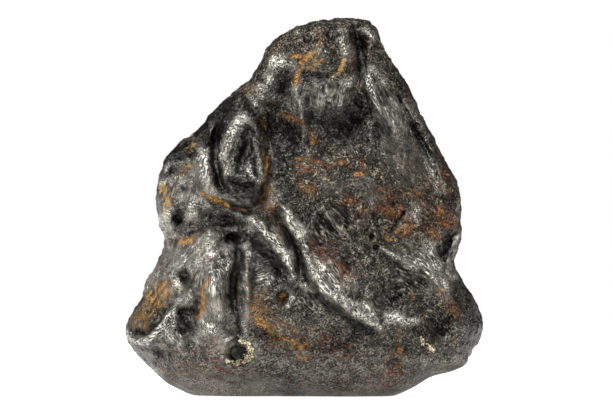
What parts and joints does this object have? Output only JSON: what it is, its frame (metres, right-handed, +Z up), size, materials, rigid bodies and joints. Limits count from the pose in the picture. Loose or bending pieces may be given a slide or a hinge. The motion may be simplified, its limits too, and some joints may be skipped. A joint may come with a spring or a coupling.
{
  "type": "iron meteorite",
  "caption": "Rough dark iron meteorite with a teardrop knob, melt ridges and thumbprint hollows, standing on a flat foot.",
  "frame": {"origin": "bottom centre of the stone's box, in the plane of the flat foot that it rests on", "axes": "+Z up, +X to the right seen from the front, the knobbed front faces -Y"},
  "size_m": [0.0572, 0.0401, 0.0604],
  "materials": {
    "crust": "half glossy dark fusion crust, worn to brighter metal on the ridges, with rust in the hollows"
  },
  "bodies": {
    "root": {"meteorite": "crust"}
  },
  "joints": []
}
